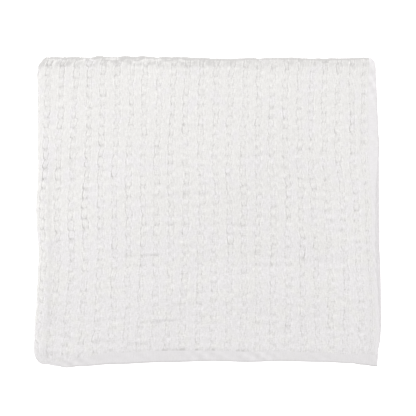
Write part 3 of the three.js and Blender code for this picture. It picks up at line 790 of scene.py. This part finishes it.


# The lines of painted shade in the creases, in millimetres: a line's half width, which is wider towards the
# front, the rims of painted light beside it, and the painted shade dots where the stitches go in. Then the
# strength of each, and where the front is, in metres.
LINE_HALF, LINE_HALF_FRONT, LINE_WAVER = 0.55, 0.4, 1.2
RIM_OUT, RIM_HALF = 1.4, 0.8
DOT_BEYOND, DOT_HALF, DOT_HALF_ALONG = 0.5, 0.75, 1.2
LINE_SHADE, RIM_LIGHT, DOT_SHADE = 0.43, 0.45, 0.3
FRONT_FROM, FRONT_REACH = 0.2, 0.15


def cotton(name, bright, cool, shaded, thread_pitch, weave_height, crinkle_height, streaks):
    """A plain-weave cotton: its bright, cool and painted-shade colours, and thread_pitch its weave in
    metres.
    """
    material = bpy.data.materials.new(name)
    material.use_nodes = True
    tree = material.node_tree
    tree.nodes.clear()
    shade = Shade(tree)
    place = shade.attribute("cloth_place", "Vector")
    painted_shade = shade.attribute("painted_shade", "Fac")
    crease = shade.attribute("crease", "Vector")
    solid = shade.node("TexCoord", None, None, "Object")
    to_crease, stitch_turn, crease_strength = (crease.part(axis) for axis in "XYZ")
    run, along = (place.part(axis) for axis in "XY")
    front = ((FRONT_FROM - along) / FRONT_REACH).clamped()

    # The weave, with uneven threads, and the lint and small creases on it
    slub = solid.noise(scale=260, detail=2) * 3
    turns = 2 * math.pi / thread_pitch
    weave = (run * turns + slub).sine() * (along * turns + slub).sine()
    creases = solid.noise(scale=420, detail=3)
    lint = solid.noise(scale=1500, detail=2)

    # Painted light and shade of the washed cloth's crepe: streaks along it and across it, and specks,
    # strongest beside the creases
    streak = place.stretched((1, 0.3, 1)).noise(scale=560, detail=1) - 0.5
    cross = place.stretched((0.35, 1, 1)).noise(scale=560, detail=1) - 0.5
    speck = place.noise(scale=600, detail=1) - 0.5
    crepe = streak * 0.8 + cross * (front * 0.2 + 0.15) + speck * 0.55
    painted_crepe_light = crepe * (to_crease.bell(4) * 0.6 + 0.6) * streaks

    # Painted shade in the stitching's creases and dots, with painted light on the rims beside the creases;
    # the creases are broken up along their length
    broken = (place.noise(scale=300, detail=1) * 4 - 1.1).clamped()
    rims = (to_crease - RIM_OUT).bell(RIM_HALF) + (to_crease + RIM_OUT).bell(RIM_HALF)
    line = (to_crease + streak * LINE_WAVER).bell(front * LINE_HALF_FRONT + LINE_HALF)
    line = (line - rims * RIM_LIGHT) * broken
    from_pinch = stitch_turn * (STITCH_PITCH / math.pi)
    dot = (to_crease - DOT_BEYOND).bell(DOT_HALF) * from_pinch.bell(DOT_HALF_ALONG)
    painted_crease_shade = (line * LINE_SHADE + dot * DOT_SHADE) * crease_strength

    # The colour: from the shaded colour, where the painted shade is deepest, to bright, with cool patches
    # that grow towards the front
    clouds = solid.noise(scale=14, detail=3)
    tone = 0.6 + clouds * 0.15 + painted_crepe_light + weave * 0.03 - painted_shade * 0.35 - painted_crease_shade
    patches = (solid.noise(scale=60, detail=2) - 0.5) * 9 + 1.2 - along * 5
    colour = tone.clamped().mixed(shaded, patches.clamped().mixed(bright, cool))

    height = weave * weave_height + creases * crinkle_height + lint * (weave_height * 0.8)
    bump = shade.node("Bump", None, {"Strength": 0.55, "Distance": 1.0, "Height": height}, "Normal")
    surface = shade.node("BsdfPrincipled", None, {
        "Base Color": colour,
        "Roughness": 0.86 + creases * 0.1,
        "Normal": bump,
        "Sheen Weight": 0.12,
        "Sheen Roughness": 0.6,
        "Specular IOR Level": 0.25,
    }, "BSDF")
    shade.node("OutputMaterial", None, {"Surface": surface})
    return material


quilted_cotton = cotton(
    "quilted_cotton", bright=(0.814, 0.8035, 0.788, 1), cool=(0.811, 0.794, 0.806, 1),
    shaded=(0.565, 0.554, 0.546, 1), thread_pitch=0.0009, weave_height=0.00003, crinkle_height=0.00012,
    streaks=1.3,
)
quilt = make_piece(
    "quilted_cloth", np.concatenate(cloth_points), cloth_faces(), np.concatenate(cloth_places),
    np.concatenate(cloth_painted_shade), np.concatenate(cloth_creases),
)
quilt.data.materials.append(quilted_cotton)
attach(quilt, "root")
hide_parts("quilt_body")

# The hem bindings
# A plain cotton strip is folded over the raw cloth at each end of the quilt and sewn through beside its
# inner edge. The outer one shows along the front and goes round the half fold; the inner one lies in the
# stack.
binding_cotton = cotton(
    "binding_cotton", bright=(0.812, 0.796, 0.800, 1), cool=(0.812, 0.794, 0.806, 1),
    shaded=(0.565, 0.551, 0.553, 1), thread_pitch=0.0007, weave_height=0.00002, crinkle_height=0.00014,
    streaks=0.3,
)

# Half thickness of a binding at shares of its width, from its pressed seam to its rounded edge
BINDING_PROFILE = [
    (0, 1.66), (0.05, 1.7), (0.14, 1.74), (0.3, 1.72), (0.5, 1.62), (0.68, 1.45), (0.82, 1.15), (0.92, 0.8),
    (0.98, 0.4), (1, 0),
]

# The slanting pull marks of a sewn strip: a size, the lengths of a wave along and across the strip, how far
# it bends and over what length, and how often it takes the strip's own seed. They come and go over two
# lengths.
PULL_MARKS = [(1, 21, 15, 2.2, 23, 1), (0.5, 12, -22, 1.7, 31, 2)]
COME_AND_GO = (37, 19)
# How far the pull marks stand out, and how much painted shade their troughs get and painted light their
# ridges
PULL_HEIGHT = 0.6
PULL_SHADE = 0.9

# How much painted shade a hem's strip has all over, and how much more a strip has where it turns under at
# its edge
HEM_SHADE = 0.15
UNDER_EDGE_SHADE = 1.5
UNDER_EDGE_FROM = 0.82

# The steps in from a hem strip's ends, how thin those ends are and over what length they round off
CORNER_STEPS = np.array([0, 0.5, 1.2, 2.4, 4, 7, 10.5])
END_THIN = 0.3
END_ROUND = 2.4


def binding_ring():
    """Places in a binding's width and out of its middle, once round its section."""
    top = [(share * BINDING_WIDTH, half) for share, half in BINDING_PROFILE]
    under = [(in_width, -out) for in_width, out in top[-2::-1]]
    return np.array(top + under)


def pull_wrinkles(along, in_width, seed):
    """How far a strip's pull marks stand out; they die away at both of its edges."""
    marks = 0
    for size, length, width, bend, bend_length, times in PULL_MARKS:
        bent = bend * np.sin(along / bend_length + times * seed)
        marks = marks + size * np.sin(2 * math.pi * (along / length + in_width / width) + bent)
    long, short = COME_AND_GO
    come_and_go = (0.55 + 0.45 * np.sin(along / long + seed) * np.sin(along / short + 3 * seed)) ** 2
    from_edges = np.sin(math.pi * np.clip(in_width / BINDING_WIDTH, 0, 1)) ** 0.5
    return PULL_HEIGHT * marks * come_and_go * from_edges


def strip_faces(rings, sides):
    """Faces of a closed strip swept through rings of points."""
    ids = np.arange(rings * sides).reshape(rings, sides)
    here, there = ids[:-1], ids[1:]
    quads = np.stack([here, np.roll(here, -1, 1), np.roll(there, -1, 1), there], axis=-1)
    return quads.reshape(-1, 4).tolist() + [ids[0, ::-1].tolist(), ids[-1].tolist()]


def edge_shade(in_width):
    """How much painted shade a binding gets at places in its width: more where it turns under."""
    return UNDER_EDGE_SHADE * smoothstep(in_width / BINDING_WIDTH, UNDER_EDGE_FROM, 1)


def sewn_strip(name, points, along, in_width, out, shaded):
    """A binding as a closed piece, from rings of points along it and their places in the strip."""
    places = np.stack(np.broadcast_arrays(along, in_width, out), axis=-1)
    faces = strip_faces(*points.shape[:2])
    strip = make_piece(name, points.reshape(-1, 3), faces, places.reshape(-1, 3), shaded.ravel())
    strip.data.materials.append(binding_cotton)
    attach(strip, "root")
    return strip


def hem_binding(name, seam_y, way, height, columns, seed):
    """A binding over one end: it runs across the whole width, round the half fold, with both corners."""
    x, turn = across(columns)
    corner = RIGHT - CORNER_STEPS
    x = np.concatenate([corner, x, corner[::-1]])[:, None]
    turn = np.concatenate([np.zeros(len(corner)), turn, np.full(len(corner), math.pi)])[:, None]
    far_end = FULL_RUN + 2 * BINDING_WIDTH
    along = np.concatenate([CORNER_STEPS, columns + BINDING_WIDTH, far_end - CORNER_STEPS[::-1]])[:, None]
    rounded = 1 - np.clip(np.minimum(along, far_end - along) / END_ROUND, 0, 1)
    thin = END_THIN + (1 - END_THIN) * np.sqrt(np.clip(1 - rounded**2, 0, 1))
    in_width, out = binding_ring().T
    wrinkles = pull_wrinkles(along, in_width, seed)
    out = out * thin + wrinkles * np.sign(out)
    points = folded(x, turn, seam_y + way * in_width, height + out)
    # Painted shade all over the hem, more where it turns under, and painted shade and light in its pull
    # marks
    shaded = HEM_SHADE + edge_shade(in_width) - PULL_SHADE * wrinkles
    return sewn_strip(name, points, along, in_width, out, shaded)


outer_hem = hem_binding("front_hem_binding", HEM_SEAM_Y, -1, TOP_THIRD, hem_columns, seed=0.7)
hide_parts("hem_binding_outer")
inner_hem = hem_binding("inner_hem_binding", INNER_SEAM_Y, 1, INNER_THIRD, plain_columns, seed=2.9)
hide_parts("hem_binding_inner")

# The side bindings
# The same strip covers each long side of the quilt. Both are on the right of the stack, where each goes back
# and forth with the thirds of its half: the upper one shows along the top layer's right edge.
# Painted light on the side strips: a little on the top layer's, which keeps its painted shade where it turns
# under, and more on the hidden ones
TOP_SIDE_SHADE = -0.2
HIDDEN_SIDE_SHADE = -0.35


def side_binding(name, turn, seed):
    """A binding over one long side: it follows the folded thirds of the upper or the lower half."""
    in_width, out = binding_ring().T
    along = outer_section[:, [RUN]]
    wrinkles = pull_wrinkles(along, in_width, seed)
    out = out + wrinkles * np.sign(out)
    points = off_cloth(SIDE_SEAM_X + in_width, turn, outer_section, out)
    on_top = (outer_section[:, [PART]] == TOP_PART) & (turn == 0)
    shaded = np.where(on_top, edge_shade(in_width) + TOP_SIDE_SHADE, HIDDEN_SIDE_SHADE)
    return sewn_strip(name, points, along, in_width, out, shaded - PULL_SHADE * wrinkles)


upper_side = side_binding("upper_side_binding", turn=0, seed=1.6)
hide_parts("side_binding_upper")
lower_side = side_binding("lower_side_binding", turn=math.pi, seed=4.1)
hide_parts("side_binding_lower")

# The quilting thread
# A soft white cotton thread, sewn by hand: each running stitch comes up through the cloth, lies in its pinch
# for a few millimetres and goes down again, so that only short stitches show along each row.
THREAD_RADIUS = 0.32
STITCH_HALF = 1.9
STITCH_LIFT = 0.25
STITCH_DIVE = 0.9
THREAD_SIDES = 6
STITCH_STEPS = 7
LAST_SHOWN_ROW = 24
FIRST_SHOWN_STITCH = 6
LAST_BEFORE_TURN = 4
thread_cotton = cotton(
    "quilting_thread", bright=(0.815, 0.803, 0.794, 1), cool=(0.815, 0.803, 0.794, 1),
    shaded=(0.760, 0.748, 0.739, 1), thread_pitch=0.0004, weave_height=0.00002, crinkle_height=0.00004,
    streaks=0.3,
)


def thread_points():
    """Rings of points round every stitch that shows, and the place of each in the cloth."""
    bow = np.linspace(-1, 1, STITCH_STEPS)
    angle = np.linspace(0, 2 * math.pi, THREAD_SIDES, endpoint=False)
    side = THREAD_RADIUS * np.cos(angle)
    last_shown = BACK_TURN_Y - HEM_SEAM_Y - LAST_BEFORE_TURN
    points = []
    places = []
    for row in np.flatnonzero((row_numbers >= 0) & (row_numbers <= LAST_SHOWN_ROW)):
        row_run = FIRST_ROW + row_numbers[row] * ROW_PITCH
        for middle in stitch_place[row]:
            if not FIRST_SHOWN_STITCH < middle < last_shown:
                continue
            along = middle + STITCH_HALF * bow
            relief, moved, _ = quilting(np.full_like(along, row_run), along)
            lift = np.maximum(relief, DEEPEST) + STITCH_LIFT - STITCH_DIVE * bow**4
            x, turn = across(moved[:, None] + side)
            out = TOP_THIRD + CLOTH / 2 + lift[:, None] + THREAD_RADIUS * np.sin(angle)
            points.append(folded(x, turn, HEM_SEAM_Y + along[:, None], out).reshape(-1, 3))
            place = np.broadcast_arrays(along[:, None], side, out)
            places.append(np.stack(place, axis=-1).reshape(-1, 3))
    return points, places


stitch_points, stitch_places = thread_points()
stitch_faces = []
for number, ring_points in enumerate(stitch_points):
    offset = number * len(ring_points)
    for face in strip_faces(STITCH_STEPS, THREAD_SIDES):
        stitch_faces.append([corner + offset for corner in face])
thread = make_piece(
    "quilting_thread", np.concatenate(stitch_points), stitch_faces, np.concatenate(stitch_places),
    np.zeros(len(stitch_points) * STITCH_STEPS * THREAD_SIDES),
)
thread.data.materials.append(thread_cotton)
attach(thread, "root")

# The studio
# A white floor, a wide soft light above the left of the back and an even white surround. The camera looks
# straight down from high up, as in the photograph.
FLOOR_HALF = 1.5
FLOOR_DROP = 0.0002
floor_mesh = bpy.data.meshes.new("studio_floor")
floor_corners = [(x * FLOOR_HALF, y * FLOOR_HALF, 0) for x, y in ((-1, -1), (1, -1), (1, 1), (-1, 1))]
floor_mesh.from_pydata(floor_corners, [], [(0, 1, 2, 3)])
floor = bpy.data.objects.new("studio_floor", floor_mesh)
floor.location.z = -FLOOR_DROP
bpy.context.scene.collection.objects.link(floor)
floor_paint = bpy.data.materials.new("studio_white")
floor_paint.use_nodes = True
floor_paint.node_tree.nodes.clear()
floor_shade = Shade(floor_paint.node_tree)
floor_surface = floor_shade.node("BsdfPrincipled", None, {
    "Base Color": (0.93, 0.93, 0.93, 1),
    "Roughness": 0.9,
    "Specular IOR Level": 0.1,
    "Emission Color": (1, 1, 1, 1),
    "Emission Strength": 0.7,
}, "BSDF")
floor_shade.node("OutputMaterial", None, {"Surface": floor_surface})
floor_mesh.materials.append(floor_paint)

SURROUND_STRENGTH = 0.83
world = bpy.data.worlds.new("studio_surround")
world.use_nodes = True
surround = world.node_tree.nodes["Background"]
surround.inputs["Color"].default_value = (1, 1, 1, 1)
surround.inputs["Strength"].default_value = SURROUND_STRENGTH
bpy.context.scene.world = world

KEY_PLACE = (-0.25, 0.75, 1.6)
KEY_SIZE = (2.4, 0.8)
KEY_WATTS = 13.5
key = bpy.data.lights.new("key_light", "AREA")
key.shape = "ELLIPSE"
key.size, key.size_y = KEY_SIZE
key.energy = KEY_WATTS
key_lamp = bpy.data.objects.new("key_light", key)
key_lamp.location = KEY_PLACE
key_lamp.rotation_mode = "QUATERNION"
key_lamp.rotation_quaternion = (-key_lamp.location).to_track_quat("-Z", "Y")
bpy.context.scene.collection.objects.link(key_lamp)

# The middle and width of what the camera sees, in metres at the height of the top layer
VIEW_CENTRE = (0.00079, 0.00391)
VIEW_WIDTH = 0.5497
VIEW_PLANE = 0.0255
LENS = 85
SENSOR_WIDTH = 36
camera_data = bpy.data.cameras.new("camera")
camera_data.lens = LENS
camera_data.sensor_width = SENSOR_WIDTH
camera = bpy.data.objects.new("camera", camera_data)
camera.location = (*VIEW_CENTRE, VIEW_PLANE + VIEW_WIDTH * LENS / SENSOR_WIDTH)
bpy.context.scene.collection.objects.link(camera)
bpy.context.scene.camera = camera
bpy.context.scene.view_settings.view_transform = "Standard"
